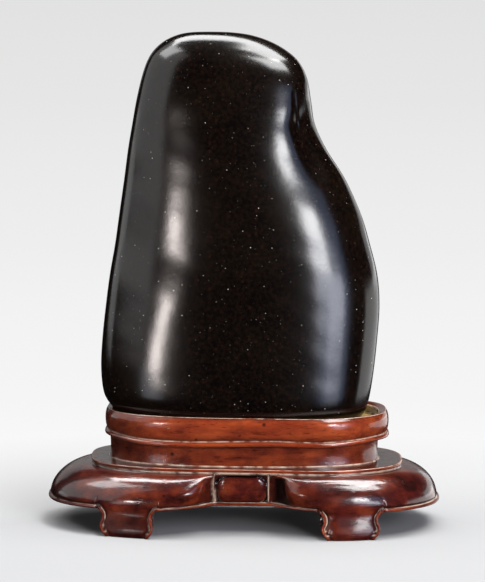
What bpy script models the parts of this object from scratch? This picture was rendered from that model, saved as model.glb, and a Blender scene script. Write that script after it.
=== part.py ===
"""Scholar's rock standing loose in the socket of its carved hardwood stand.

The stone is one tall, broad pebble-smooth mass with a rounded crest, a slack
right shoulder and a short crease below it. The stand is one carved block:
four bracket feet under a lobed apron, a thin step, a straight waist, a bead
and a rounded collar whose socket holds the foot of the stone.

Sizes are in millimetres here and become metres when a mesh is made. The origin
is on the floor under the middle of the stand, +Z is up, and the broad face of
the stone looks toward -Y.
"""

import math

import bmesh
import bpy

MILLIMETRE = 0.001
WELD = 1e-6

# Stone: height, left edge, right edge, front, back, squareness of the left and
# right front corners. The front leans back as it rises and the back stays full.
STONE_LEVELS = (
    (42.0, -47.5, 43.5, -18.6, 17.5, 2.3, 2.5),
    (43.0, -50.2, 46.5, -20.8, 19.5, 2.3, 2.6),
    (46.3, -52.6, 48.8, -22.7, 20.8, 2.3, 2.7),
    (52.0, -55.9, 50.4, -23.3, 22.0, 2.3, 2.6),
    (62.0, -57.0, 52.0, -22.3, 23.2, 2.3, 2.5),
    (74.0, -56.4, 53.3, -21.0, 24.4, 2.25, 2.4),
    (87.0, -55.0, 54.2, -19.5, 25.4, 2.2, 2.3),
    (99.0, -53.4, 53.4, -18.0, 26.2, 2.2, 2.3),
    (111.0, -51.3, 50.5, -16.4, 26.8, 2.15, 2.3),
    (123.0, -49.6, 46.9, -14.7, 27.2, 2.1, 2.3),
    (137.0, -47.6, 40.6, -12.5, 27.4, 2.1, 2.3),
    (149.0, -46.0, 33.0, -10.4, 27.2, 2.15, 2.4),
    (159.0, -44.3, 28.4, -8.4, 26.8, 2.2, 2.6),
    (168.0, -42.7, 26.9, -6.3, 26.2, 2.3, 2.7),
    (177.0, -40.6, 25.3, -3.7, 25.2, 2.3, 2.7),
    (183.5, -38.4, 22.0, -1.2, 24.0, 2.3, 2.5),
    (188.0, -35.6, 17.0, 1.4, 22.4, 2.3, 2.3),
    (191.6, -31.4, 10.4, 4.5, 20.2, 2.2, 2.2),
    (194.0, -26.2, 3.0, 7.4, 17.2, 2.2, 2.2),
    (195.1, -20.8, -4.6, 9.6, 14.2, 2.2, 2.2),
    (195.4, -13.0, -13.0, 11.6, 11.6, 2.2, 2.2),
)
BACK_SQUARENESS = 2.3
STONE_SKEW = 0.05
STONE_COLUMNS = 42
STONE_RINGS_PER_LEVEL = (1, 1, 1, 2, 2, 2, 2, 2, 2, 2, 2, 2, 2, 2, 1, 1, 1, 1, 1, 1)

# Crease below the right shoulder: its line in X and Z, its depth, its half width
# and how far back from the front it fades out.
CREASE_LINE = ((27.0, 171.0), (22.5, 160.0), (26.5, 149.0), (31.0, 141.0))
CREASE_DEPTH = 1.3
CREASE_WIDTH = 3.2
CREASE_BACK_Y = 12.0
CREASE_FADE = 8.0

# Stand outlines: half length, half width, squareness, shift of the middle in X.
WAIST = (53.7, 24.0, 2.5, 0.2)
STEP = (62.2, 29.2, 3.0, 1.2)
BEAD = (56.8, 26.9, 2.7, 1.3)
GROOVE = (55.7, 25.9, 2.7, 1.3)
COLLAR = (56.6, 27.0, 2.7, 1.3)
RIM = (55.5, 25.6, 2.7, 1.3)
SOCKET = (53.1, 23.4, 2.6, 0.6)
UPPER_SKEW = 0.06

# The front right of the bead, collar and step swells forward a little.
SWELL = 2.3
SWELL_X = 34.0
SWELL_REACH = 18.0

# Stand heights.
CEILING_Z = 14.0
STEP_BOTTOM_Z = 24.9
STEP_TOP_Z = 26.2
WAIST_TOP_Z = 35.4
BEAD_Z = 36.4
GROOVE_Z = 37.5
RIM_Z = 46.1
SOCKET_LIP_Z = 45.3
SOCKET_FLOOR_Z = 41.7

# Apron: outline, skew, wall, the recess of the middle panels and the height of its lower edge.
APRON = (78.5, 40.6, 2.5, 0.0)
APRON_SKEW = 0.04
APRON_SWELL = 2.4
APRON_SWELL_X = 56.0
APRON_SWELL_REACH = 22.0
APRON_WALL = 9.5
WALL_TURN_X = 42.0
APRON_EDGE_Z = 11.1
APRON_END_SAG = 1.1
PANEL_HALF = 11.2
PANEL_RECESS = 13.2
PANEL_BLEND = 25.0
BLEND_POWER_LOW = 1.25
BLEND_POWER_HIGH = 3.6

# Feet: middle X, side (-1 front, +1 back), how far the toe stands forward, width scale.
FEET = ((-46.6, -1, 2.6, 1.0), (42.1, -1, 1.2, 1.08), (42.1, 1, 1.6, 1.04), (-46.6, 1, 2.2, 1.0))
TOE_SHARES = ((0.0, 0.85), (3.4, 1.0), (8.5, 0.1), (12.0, 0.0))
ANKLE_TUCKS = ((0.0, 0.0), (4.0, 0.0), (8.8, 0.8), (12.5, 0.0))
FOOT_HALF_WIDTHS = ((0.0, 8.8), (1.5, 10.2), (4.2, 11.4), (7.2, 10.4), (9.0, 10.8), (11.1, 13.0))
FOOT_SIDE_STARTS = (9.0, 7.0, 4.2, 1.5)
FOOT_KEEP = 0.8
SIDE_SETTLE = 4.0

# Columns of the stand between the feet, and the share of each rise from edge to step.
COLUMNS_FRONT = 18
COLUMNS_END = 13
RISE = (0.0, 0.14, 0.27, 0.38, 0.52, 0.66, 0.79, 0.89, 0.96, 1.0)
OUTLINE_STEPS = 1440


def blend(table, place):
    """Straight-line reading of a table of (place, value) pairs."""
    if place <= table[0][0]:
        return table[0][1]
    for (p0, v0), (p1, v1) in zip(table, table[1:]):
        if place <= p1:
            return v0 + (v1 - v0) * (place - p0) / (p1 - p0)
    return table[-1][1]


def rounded(t, half_x, half_y, squareness):
    """Point at parameter t of a superellipse around the middle."""
    c = math.cos(t)
    s = math.sin(t)
    reach = (abs(c) ** squareness + abs(s) ** squareness) ** (-1.0 / squareness)
    return half_x * reach * c, half_y * reach * s


def front_swell(x, y, size, middle, reach):
    """Forward swell of an outline on its front side only."""
    if y >= 0.0:
        return 0.0
    return -size * math.exp(-(((x - middle) / reach) ** 2))


def upper_point(t, outline, swell=SWELL):
    """Plan point of the step, waist, bead, collar or socket."""
    half_x, half_y, squareness, shift = outline
    x, y = rounded(t, half_x, half_y, squareness)
    front = max(0.0, -y / half_y)
    y += front_swell(x, y, swell * front, SWELL_X, SWELL_REACH)
    return x + shift, y - UPPER_SKEW * x


def apron_point(t, power):
    """Plan point of the lobed apron, whose front and back panels are recessed."""
    half_x, half_y, squareness, shift = APRON
    x, y = rounded(t, half_x, half_y, squareness)
    side = y / half_y
    y += front_swell(x, y, APRON_SWELL * abs(side), APRON_SWELL_X, APRON_SWELL_REACH)
    along = (abs(x) - PANEL_HALF) / PANEL_BLEND
    left = (1.0 - min(1.0, max(0.0, along))) ** power
    y -= math.copysign(PANEL_RECESS * left, y)
    return x + shift, y - APRON_SKEW * x


def edge_height(x):
    """Height of the lower edge of the apron, which sags toward the ends."""
    return APRON_EDGE_Z - APRON_END_SAG * (x / APRON[0]) ** 2


def make_outline_ruler():
    """Distance along the apron's edge at even steps of its parameter."""
    ruler = [0.0]
    last = apron_point(0.0, BLEND_POWER_LOW)
    for i in range(1, OUTLINE_STEPS + 1):
        point = apron_point(math.tau * i / OUTLINE_STEPS, BLEND_POWER_LOW)
        ruler.append(ruler[-1] + math.dist(last, point))
        last = point
    return ruler


RULER = make_outline_ruler()


def parameter_at(distance):
    """Parameter of the apron outline at a distance along it."""
    whole = RULER[-1]
    turns, rest = divmod(distance, whole)
    low = 0
    high = OUTLINE_STEPS
    while high - low > 1:
        middle = (low + high) // 2
        if RULER[middle] <= rest:
            low = middle
        else:
            high = middle
    part = (rest - RULER[low]) / (RULER[high] - RULER[low])
    return math.tau * (turns + (low + part) / OUTLINE_STEPS)


def distance_of(foot_x, side):
    """Distance along the apron outline at which it passes a foot's middle."""
    best = 0
    best_gap = math.inf
    for i in range(OUTLINE_STEPS):
        x, y = apron_point(math.tau * i / OUTLINE_STEPS, BLEND_POWER_LOW)
        gap = abs(x - foot_x)
        if y * side > 0.0 and gap < best_gap:
            best = i
            best_gap = gap
    return RULER[best]


def foot_columns(middle, toe, width):
    """Columns of one foot: toe, width, start height, place across there and at the top."""
    sides = []
    steps = len(FOOT_SIDE_STARTS) + 1
    for i, start in enumerate(FOOT_SIDE_STARTS):
        kept = 1.0 - (1.0 - FOOT_KEEP) * (i + 1) / steps
        sides.append((start, 1.0, kept))
    rows = [(middle, toe, width, start, -edge, -kept) for start, edge, kept in sides]
    for place in (-1.0, -0.34, 0.34, 1.0):
        rows.append((middle, toe, width, 0.0, place, place * FOOT_KEEP))
    rows += [(middle, toe, width, start, edge, kept) for start, edge, kept in reversed(sides)]
    return rows


def stand_columns():
    """All columns around the stand: (middle, toe, width, start, place, kept)."""
    reach = FOOT_HALF_WIDTHS[-1][1]
    feet = sorted((distance_of(x, side), toe, width) for x, side, toe, width in FEET)
    columns = []
    for index, (middle, toe, width) in enumerate(feet):
        columns += foot_columns(middle, toe, width)
        following, _, next_width = feet[(index + 1) % len(feet)]
        if index == len(feet) - 1:
            following += RULER[-1]
        begin = middle + reach * width
        length = following - reach * next_width - begin
        count = COLUMNS_FRONT if index in (0, 2) else COLUMNS_END
        for i in range(count):
            columns.append((begin + length * i / (count - 1), 0.0, 1.0, None, 0.0, 0.0))
    return columns


def column_point(column, share):
    """Point on the outer side of the apron or a foot at a share of its rise."""
    middle, toe, width, start, place, kept = column
    if start is None:
        t = parameter_at(middle)
        low = edge_height(apron_point(t, BLEND_POWER_LOW)[0])
        z = low + (STEP_BOTTOM_Z - low) * share
        swell = 0.0
    else:
        z = start + (STEP_BOTTOM_Z - start) * share
        settle = 1.0 - math.exp(-(z - start) / SIDE_SETTLE)
        across = place + (kept - place) * settle
        t = parameter_at(middle + across * width * blend(FOOT_HALF_WIDTHS, z))
        swell = toe * blend(TOE_SHARES, z) - blend(ANKLE_TUCKS, z)
    rise = max(0.0, (z - APRON_EDGE_Z) / (STEP_BOTTOM_Z - APRON_EDGE_Z))
    spread = math.sqrt(max(0.0, 1.0 - rise * rise))
    power = BLEND_POWER_LOW + (BLEND_POWER_HIGH - BLEND_POWER_LOW) * min(1.0, 2.0 * rise)
    out_x, out_y = apron_point(t, power)
    out_y += math.copysign(swell, out_y)
    in_x, in_y = upper_point(t, STEP)
    tuck = 1.0 - 0.012 * (1.0 - spread)
    x = (in_x + (out_x - in_x) * spread) * tuck
    y = (in_y + (out_y - in_y) * spread) * tuck
    return x, y, z, t


def behind(x, y):
    """Point one wall thickness in from the apron's face: straight back, or
    toward the middle round the two ends."""
    turn = min(1.0, max(0.0, (abs(x) - WALL_TURN_X) / (APRON[0] - WALL_TURN_X)))
    turn = turn * turn * (3.0 - 2.0 * turn)
    back = 1.0 - turn
    reach = APRON_WALL / math.hypot(turn, back)
    return x - math.copysign(turn * reach, x), y - math.copysign(back * reach, y)


def shaped_grid(name, rings):
    """Closed skin through rings of points: a grid bent round and welded."""
    across = len(rings[0])
    mesh = bpy.data.meshes.new(name)
    bm = bmesh.new()
    bmesh.ops.create_grid(bm, x_segments=across, y_segments=len(rings) - 1, size=1.0)
    bm.verts.ensure_lookup_table()
    for row, ring in enumerate(rings):
        for i in range(across + 1):
            x, y, z = ring[i % across]
            spot = bm.verts[row * (across + 1) + i]
            spot.co = (x * MILLIMETRE, y * MILLIMETRE, z * MILLIMETRE)
    bmesh.ops.remove_doubles(bm, verts=bm.verts, dist=WELD)
    bmesh.ops.recalc_face_normals(bm, faces=bm.faces)
    bm.to_mesh(mesh)
    bm.free()
    return mesh


def flat_ring(points, z, scale=1.0):
    """Ring of plan points at one height, drawn toward the middle by a scale."""
    return [(x * scale, y * scale, z) for x, y in points]


def make_stand():
    """Rings from the underside, round the feet and apron, up to the socket floor."""
    columns = stand_columns()
    outer = [[column_point(c, share) for c in columns] for share in RISE]
    inner = [behind(p[0], p[1]) for p in outer[0]]
    params = [p[3] for p in outer[-1]]

    rings = [flat_ring(inner, CEILING_Z, 0.0)]
    rings.append(flat_ring(inner, CEILING_Z, 0.55))
    rings.append(flat_ring(inner, CEILING_Z))
    rings.append([(x, y, p[2]) for (x, y), p in zip(inner, outer[0])])
    for ring in outer:
        rings.append([p[:3] for p in ring])

    def level(outline, z, swell=SWELL):
        rings.append([(*upper_point(t, outline, swell), z) for t in params])

    def between(first, second, part):
        return tuple(a + (b - a) * part for a, b in zip(first, second))

    level(STEP, STEP_BOTTOM_Z + 0.1)
    level(STEP, STEP_TOP_Z)
    level(WAIST, STEP_TOP_Z, 0.0)
    level(WAIST, WAIST_TOP_Z, 0.0)
    level(between(GROOVE, BEAD, 0.6), BEAD_Z - 0.7)
    level(BEAD, BEAD_Z)
    level(GROOVE, GROOVE_Z)
    level(between(GROOVE, COLLAR, 0.8), GROOVE_Z + 1.8)
    level(COLLAR, GROOVE_Z + 4.0)
    level(between(COLLAR, RIM, 0.35), GROOVE_Z + 6.6)
    level(RIM, RIM_Z)
    level(between(RIM, SOCKET, 0.75), SOCKET_LIP_Z)
    level(SOCKET, SOCKET_FLOOR_Z, 0.5 * SWELL)
    floor = [upper_point(t, SOCKET, 0.5 * SWELL) for t in params]
    rings.append(flat_ring(floor, SOCKET_FLOOR_Z, 0.5))
    rings.append(flat_ring(floor, SOCKET_FLOOR_Z, 0.0))
    return shaped_grid("stand", rings)


def smooth_level(index, part):
    """Catmull-Rom reading between two neighbouring levels of the stone."""
    last = len(STONE_LEVELS) - 1
    picks = [STONE_LEVELS[min(last, max(0, index + k))] for k in (-1, 0, 1, 2)]
    values = []
    for a, b, c, d in zip(*picks):
        bend = 2.0 * a - 5.0 * b + 4.0 * c - d
        twist = 3.0 * (b - c) + d - a
        slope = c - a
        values.append(b + 0.5 * part * (slope + part * (bend + part * twist)))
    return values


def crease_press(x, y, z):
    """How far the crease presses the front of the stone in at a point."""
    nearest = math.inf
    along = 0.0
    runs = len(CREASE_LINE) - 1
    for index, (start, end) in enumerate(zip(CREASE_LINE, CREASE_LINE[1:])):
        run_x = end[0] - start[0]
        run_z = end[1] - start[1]
        part = (x - start[0]) * run_x + (z - start[1]) * run_z
        part = min(1.0, max(0.0, part / (run_x * run_x + run_z * run_z)))
        away = math.hypot(x - start[0] - part * run_x, z - start[1] - part * run_z)
        if away < nearest:
            nearest = away
            along = (index + part) / runs
    ends = math.sin(math.pi * (0.1 + 0.8 * along))
    back = min(1.0, max(0.0, (CREASE_BACK_Y - y) / CREASE_FADE))
    return CREASE_DEPTH * ends * back * math.exp(-((nearest / CREASE_WIDTH) ** 2))


def stone_point(t, level):
    """Point of the stone's skin at one level, which is a rounded oval."""
    z, left, right, front, back, square_left, square_right = level
    if math.sin(t) > 0.0:
        squareness = BACK_SQUARENESS
    else:
        squareness = square_left if math.cos(t) < 0.0 else square_right
    x, y = rounded(t, 0.5 * (right - left), 0.5 * (back - front), squareness)
    x += 0.5 * (left + right)
    y += 0.5 * (front + back) - STONE_SKEW * x
    return x, y + crease_press(x, y, z), z


def make_stone():
    """Rings from the flat base, which is closed to its middle, up to the crest."""
    turns = [math.tau * i / STONE_COLUMNS for i in range(STONE_COLUMNS)]
    foot = [stone_point(t, STONE_LEVELS[0]) for t in turns]
    foot_z = STONE_LEVELS[0][0]
    rings = [flat_ring([p[:2] for p in foot], foot_z, 0.0)]
    rings.append(flat_ring([p[:2] for p in foot], foot_z, 0.5))
    for index, steps in enumerate(STONE_RINGS_PER_LEVEL):
        for i in range(steps):
            level = smooth_level(index, i / steps)
            rings.append([stone_point(t, level) for t in turns])
    crest = STONE_LEVELS[-1]
    rings.append([stone_point(t, crest) for t in turns])
    return shaped_grid("stone", rings)


def add_piece(name, mesh, colour, roughness):
    """One smooth-shaded object with its own material."""
    material = bpy.data.materials.new(name)
    material.use_nodes = True
    shader = material.node_tree.nodes["Principled BSDF"]
    shader.inputs["Base Color"].default_value = (*colour, 1.0)
    shader.inputs["Roughness"].default_value = roughness
    shader.inputs["Metallic"].default_value = 0.0
    mesh.materials.append(material)
    mesh.shade_smooth()
    mesh.set_sharp_from_angle(angle=math.radians(40.0))
    piece = bpy.data.objects.new(name, mesh)
    bpy.context.scene.collection.objects.link(piece)
    return piece


def main():
    for old in list(bpy.data.objects):
        bpy.data.objects.remove(old)
    add_piece("stone", make_stone(), (0.012, 0.010, 0.010), 0.22)
    add_piece("stand", make_stand(), (0.16, 0.035, 0.022), 0.32)


main()
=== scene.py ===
"""Scholar's rock of polished black limestone on its carved and waxed hongmu stand."""

import math

import bmesh
import bpy
import numpy as np
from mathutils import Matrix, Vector


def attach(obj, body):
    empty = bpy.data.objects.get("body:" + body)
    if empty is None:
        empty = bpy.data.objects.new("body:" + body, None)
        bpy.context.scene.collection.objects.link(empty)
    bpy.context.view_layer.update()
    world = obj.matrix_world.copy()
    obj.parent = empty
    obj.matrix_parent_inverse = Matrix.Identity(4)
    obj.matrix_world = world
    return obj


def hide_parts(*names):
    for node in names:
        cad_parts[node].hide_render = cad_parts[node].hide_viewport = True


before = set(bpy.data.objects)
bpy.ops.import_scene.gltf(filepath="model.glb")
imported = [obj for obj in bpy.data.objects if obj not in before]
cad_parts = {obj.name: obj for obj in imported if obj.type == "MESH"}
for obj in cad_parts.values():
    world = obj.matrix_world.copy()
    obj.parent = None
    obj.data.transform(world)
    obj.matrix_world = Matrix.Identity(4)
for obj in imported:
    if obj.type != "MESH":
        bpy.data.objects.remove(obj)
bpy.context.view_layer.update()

MILLIMETRE = 0.001
WELD = 1e-6
TAU = math.tau

# ---------------------------------------------------------------------------
# Sizes in millimetres. The origin is on the floor under the middle of the
# stand and the broad face of the stone looks toward -Y.
# ---------------------------------------------------------------------------

# Stone: height, left edge, right edge, front, back, squareness of the left and
# right front corners.
STONE_LEVELS = np.array((
    (42.0, -47.5, 43.5, -18.6, 17.5, 2.3, 2.5),
    (43.0, -50.2, 46.5, -20.8, 19.5, 2.3, 2.6),
    (46.3, -52.6, 48.8, -22.7, 20.8, 2.3, 2.7),
    (52.0, -55.9, 50.4, -23.3, 22.0, 2.3, 2.6),
    (62.0, -57.0, 52.0, -22.3, 23.2, 2.3, 2.5),
    (74.0, -56.4, 53.3, -21.0, 24.4, 2.25, 2.4),
    (87.0, -55.0, 54.2, -19.5, 25.4, 2.2, 2.3),
    (99.0, -53.4, 53.4, -18.0, 26.2, 2.2, 2.3),
    (111.0, -51.3, 50.5, -16.4, 26.8, 2.15, 2.3),
    (123.0, -49.6, 46.9, -14.7, 27.2, 2.1, 2.3),
    (137.0, -47.6, 40.6, -12.5, 27.4, 2.1, 2.3),
    (149.0, -46.0, 33.0, -10.4, 27.2, 2.15, 2.4),
    (159.0, -44.3, 28.4, -8.4, 26.8, 2.2, 2.6),
    (168.0, -42.7, 26.9, -6.3, 26.2, 2.3, 2.7),
    (177.0, -40.6, 25.3, -3.7, 25.2, 2.3, 2.7),
    (183.5, -38.4, 22.0, -1.2, 24.0, 2.3, 2.5),
    (188.0, -35.6, 17.0, 1.4, 22.4, 2.3, 2.3),
    (191.6, -31.4, 10.4, 4.5, 20.2, 2.2, 2.2),
    (194.0, -26.2, 3.0, 7.4, 17.2, 2.2, 2.2),
    (195.1, -20.8, -4.6, 9.6, 14.2, 2.2, 2.2),
    (195.4, -13.0, -13.0, 11.6, 11.6, 2.2, 2.2),
))
BACK_SQUARENESS = 2.3
STONE_SKEW = 0.05
STONE_COLUMNS = 320
STONE_ROWS = 300
CREASE_LINE = ((27.0, 171.0), (22.5, 160.0), (26.5, 149.0), (31.0, 141.0))
CREASE_DEPTH = 1.3
CREASE_WIDTH = 3.2
CREASE_BACK_Y = 12.0
CREASE_FADE = 8.0

# Fine cut along the bottom of the crease.
CUT_LINE = ((20.0, 172.5), (20.5, 166.0), (20.7, 161.8), (21.3, 157.8), (22.5, 153.9), (24.8, 149.0))
CUT_DEPTH = 0.42
CUT_WIDTH = 0.75
STONE_WAVER = 0.04

# Soft hollows left by water: X, height, half width, half height, depth, side
# (-1 front, 1 back).
STONE_HOLLOWS = (
    (-34.0, 110.0, 14.0, 12.0, 0.46, -1.0),
    (-25.0, 90.0, 13.0, 11.0, -0.36, -1.0),
    (-30.0, 156.5, 15.0, 17.0, 0.78, -1.0),
    (20.0, 139.5, 15.0, 9.0, 0.42, -1.0),
    (8.0, 171.0, 12.0, 13.0, 0.60, -1.0),
    (14.0, 118.0, 24.0, 30.0, 0.90, 1.0),
    (-24.0, 84.0, 20.0, 26.0, 0.80, 1.0),
    (-10.0, 164.0, 18.0, 15.0, 0.60, 1.0),
    (26.0, 66.0, 16.0, 16.0, 0.60, 1.0),
)

# Stand outlines: half length, half width, squareness, shift of the middle in X.
WAIST = (53.7, 24.0, 2.5, 0.2)
STEP = (62.2, 29.2, 3.0, 1.2)
BEAD = (56.8, 26.9, 2.7, 1.3)
GROOVE = (55.7, 25.9, 2.7, 1.3)
COLLAR = (56.6, 27.0, 2.7, 1.3)
RIM = (55.5, 25.6, 2.7, 1.3)
SOCKET = (53.1, 23.4, 2.6, 0.6)
UPPER_SKEW = 0.06
SWELL = 2.3
SWELL_X = 34.0
SWELL_REACH = 18.0

# Stand heights.
CEILING_Z = 14.0
STEP_BOTTOM_Z = 24.9
STEP_TOP_Z = 26.2
WAIST_TOP_Z = 35.3
BEAD_Z = 36.4
GROOVE_Z = 37.5
RIM_Z = 46.1
SOCKET_LIP_Z = 45.3
SOCKET_FLOOR_Z = 41.7

# How far the hand-cut bead hangs lower along the front: X, drop.
BEAD_SAG = ((-53.0, 0.0), (-41.0, 1.2), (-26.0, 1.5), (-4.0, 0.95), (10.0, 0.65),
            (36.0, 0.9), (52.0, 0.0))
BEAD_SAG_REACH = 4.0

# Rings of the mouldings. Step edge: radius and turn of each ring in degrees.
STEP_EDGE_RADIUS = 0.45
STEP_EDGE_TURNS = (-50.0, -25.0, 0.0, 25.0, 50.0, 75.0)
# Step top: share of the way in to the waist, painted shade under the waist.
STEP_TOP = ((0.085, 0.5), (0.14, 0.85), (0.3, 0.8), (0.55, 0.8), (0.8, 0.85), (0.93, 0.85))
# Foot of the waist: height above the step, dried wax, painted shade in the crease.
WAIST_FOOT = ((0.14, 1.0, 0.2), (0.34, 0.9, 0.0), (0.55, 0.0, 0.3))
# Face of the waist, scraped very slightly hollow: share of its height, painted shade under the bead.
WAIST_FACE = ((0.12, 0.0), (0.3, 0.0), (0.5, 0.0), (0.7, 0.0), (0.86, 0.0), (0.95, 0.5))
WAIST_HOLLOW = 0.035
# Turn of each ring of the bead in degrees.
BEAD_TURNS = (-70.0, -45.0, -20.0, 0.0, 25.0, 50.0, 75.0)
# Face of the collar: rise above the groove, share of the way out, dried wax, painted shade over the
# groove.
COLLAR_FACE = ((0.3, -0.05, 0.6, 0.6), (0.55, 0.25, 0.0, 0.6525), (0.95, 0.45, 0.0, 0.4725),
               (1.6, 0.66, 0.0, 0.18), (2.4, 0.84, 0.0, 0.0), (3.3, 0.95, 0.0, 0.0),
               (4.2, 1.0, 0.0, 0.0), (5.1, 1.0, 0.0, 0.0), (5.9, 0.93, 0.0, 0.0),
               (6.6, 0.8, 0.0, 0.0))
# Round from the collar to the rim: rise, share of the way, painted shade where the stone meets the rim,
# over darker wood.
COLLAR_TOP = ((7.2, 0.32, 0.0), (7.7, 0.55, 0.1), (8.1, 0.75, 0.45), (8.4, 0.88, 0.7))
# Top of the rim: share of the way in to the socket, drop, pale painted highlight on the socket's edge.
RIM_TOP = ((0.1, 0.0, 0.0), (0.35, 0.12, 0.0), (0.65, 0.4, 0.0), (0.84, 0.66, 0.0),
           (0.92, 0.8, 0.7))

# Apron and its recessed middle panels.
APRON = (78.5, 40.6, 2.5, 0.0)
APRON_SKEW = 0.04
APRON_SWELL = 2.4
APRON_SWELL_X = 56.0
APRON_SWELL_REACH = 22.0
APRON_WALL = 9.5
WALL_TURN_X = 42.0
APRON_EDGE_Z = 11.1
APRON_END_SAG = 1.1
PANEL_HALF = 11.2
PANEL_RECESS = 13.2
PANEL_BLEND = 25.0
BLEND_POWER_LOW = 1.25
BLEND_POWER_HIGH = 3.6

# Feet: middle X, side, how far the toe stands forward and width scale.
FEET = ((-46.6, -1, 1.6, 1.0), (42.1, -1, 1.2, 1.08), (42.1, 1, 1.6, 1.04), (-46.6, 1, 2.2, 1.0))
TOE_Z = 1.5
TOE_HEIGHT = 4.6
ANKLE_TUCK = 0.7
ANKLE_Z = 9.6
ANKLE_HEIGHT = 2.8
FOOT_HALF_WIDTHS = ((0.0, 8.8), (1.5, 10.2), (4.2, 11.4), (7.2, 10.4), (9.0, 10.8), (11.1, 13.0))
FOOT_KEEP = 0.8
SIDE_SETTLE = 4.0
FOOT_SIDE_TOP = 11.0
OUTLINE_STEPS = 7200

# Mesh density of the stand: columns round it, and rings up the apron's face,
# close together over the lip and then evenly round the swell.
COLUMNS_SIDE = 26
COLUMNS_SOLE = 24
COLUMNS_FRONT = 212
COLUMNS_END = 68
FACE_HEIGHT = 13.9
LIP_RINGS = (0.0, 0.12, 0.28, 0.46, 0.66, 0.86, 1.04, 1.18, 1.33, 1.48, 1.66, 1.94, 2.3)
SWELL_START = 2.8
SWELL_RINGS = 27

# Carving: the lip along the lower edge, the upright threads beside the panels,
# the cushion between them, the hollow beside the nose of each lobe and the
# faint waviness of hand work.
LIP_RADIUS = 0.62
BODY_INSET = 0.85
LIP_GROOVE = 0.32
SOLE_EASE = 0.25
THREADS_X = (-11.2, 9.8)
THREAD_RADIUS = 0.45
CUSHION_MIDDLE = (-0.7, 17.7)
CUSHION_HALF = (9.9, 5.8)
CUSHION_CORNER = 4.6
CUSHION_RISE = 2.1
CUSHION_ROUND = 5.2
MOAT_DEPTH = 0.4
NOSE_X = 13.0
NOSE_ROUND = 2.3
NOSE_SPREAD = 2.4
NOSE_DEPTH = 1.7
FINISH_INSET = 0.22
HAND_WAVER = 0.10

# What the finish varies by: dried wax with painted edge highlights, painted shade with patina, stain with
# painted light, dullness and bare wood.
SHADES = ("wax_and_painted_highlight", "painted_shade_and_patina", "stain_and_painted_light", "dull", "raw")

# Darkening toward both ends of the mouldings, painted shade over darker stain and heavier on the left:
# strength and where it sets in.
LEFT_END_DARKENING = 0.62
LEFT_END_DARKENING_X = (30.0, 52.0)
RIGHT_END_DARKENING = 0.372
RIGHT_END_DARKENING_X = (40.0, 56.0)

# The knot in the right lobe, in metres: place, size, stretch along each axis
# and how ragged its edge is.
KNOT_PLACE = (0.0665, -0.0262, 0.0188)
KNOT_SIZE = 0.0034
KNOT_STRETCH = (0.6, 0.5, 1.0)
KNOT_RAGGED = 0.006


def read_smooth(table, places):
    """Smooth cubic reading of a table of (place, value) pairs."""
    knots = np.array([p for p, _ in table])
    values = np.array([v for _, v in table])
    slopes = np.gradient(values, knots)
    places = np.clip(places, knots[0], knots[-1])
    i = np.clip(np.searchsorted(knots, places) - 1, 0, len(knots) - 2)
    span = knots[i + 1] - knots[i]
    u = (places - knots[i]) / span
    rise = values[i + 1] - values[i]
    start = values[i] + slopes[i] * span * u * (1.0 - u) ** 2
    return start + rise * u * u * (3.0 - 2.0 * u) - slopes[i + 1] * span * u * u * (1.0 - u)


def ease(value, low, high):
    """Soft step from 0 at low to 1 at high."""
    u = np.clip((value - low) / (high - low), 0.0, 1.0)
    return u * u * (3.0 - 2.0 * u)


def rounded(t, half_x, half_y, squareness):
    """Points at parameters t of a superellipse around the middle."""
    c = np.cos(t)
    s = np.sin(t)
    reach = (np.abs(c) ** squareness + np.abs(s) ** squareness) ** (-1.0 / squareness)
    return half_x * reach * c, half_y * reach * s


def waver(x, y, z, size):
    """Slow, faint unevenness of hand work, about one either way."""
    a = np.sin(x / size + 1.3 * np.sin(z / size + 0.7)) * np.cos(z / size * 1.3 + 0.4)
    b = np.sin(y / size * 1.2 + 2.0 + np.sin(x / size * 0.6))
    c = np.sin((x + 1.7 * z) / size * 1.9 + 0.8 * b)
    return 0.45 * a + 0.3 * b + 0.25 * c


def shaped_grid(name, spots, shades):
    """Closed skin through rings of spots: a grid bent round and welded."""
    rows, across = spots.shape[:2]
    spots = np.concatenate((spots, spots[:, :1]), axis=1).reshape(-1, 3) * MILLIMETRE
    mesh = bpy.data.meshes.new(name)
    bm = bmesh.new()
    bmesh.ops.create_grid(bm, x_segments=across, y_segments=rows - 1, size=1.0)
    for vert, spot in zip(bm.verts, spots):
        vert.co = spot
    for label, shade in shades.items():
        layer = bm.verts.layers.float.new(label)
        shade = np.concatenate((shade, shade[:, :1]), axis=1).reshape(-1)
        for vert, value in zip(bm.verts, shade):
            vert[layer] = value
    bmesh.ops.remove_doubles(bm, verts=bm.verts, dist=WELD)
    bmesh.ops.recalc_face_normals(bm, faces=bm.faces)
    bm.to_mesh(mesh)
    bm.free()
    mesh.shade_smooth()
    piece = bpy.data.objects.new(name, mesh)
    bpy.context.scene.collection.objects.link(piece)
    return piece


# ---------------------------------------------------------------------------
# Stone
# ---------------------------------------------------------------------------

def stone_levels(places):
    """Catmull-Rom reading of the stone's levels at fractional places."""
    last = len(STONE_LEVELS) - 1
    index = np.clip(np.floor(places).astype(int), 0, last - 1)
    part = (places - index)[:, None]
    a, b, c, d = (STONE_LEVELS[np.clip(index + k, 0, last)] for k in (-1, 0, 1, 2))
    bend = 2.0 * a - 5.0 * b + 4.0 * c - d
    twist = 3.0 * (b - c) + d - a
    return b + 0.5 * part * (c - a + part * (bend + part * twist))


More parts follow.
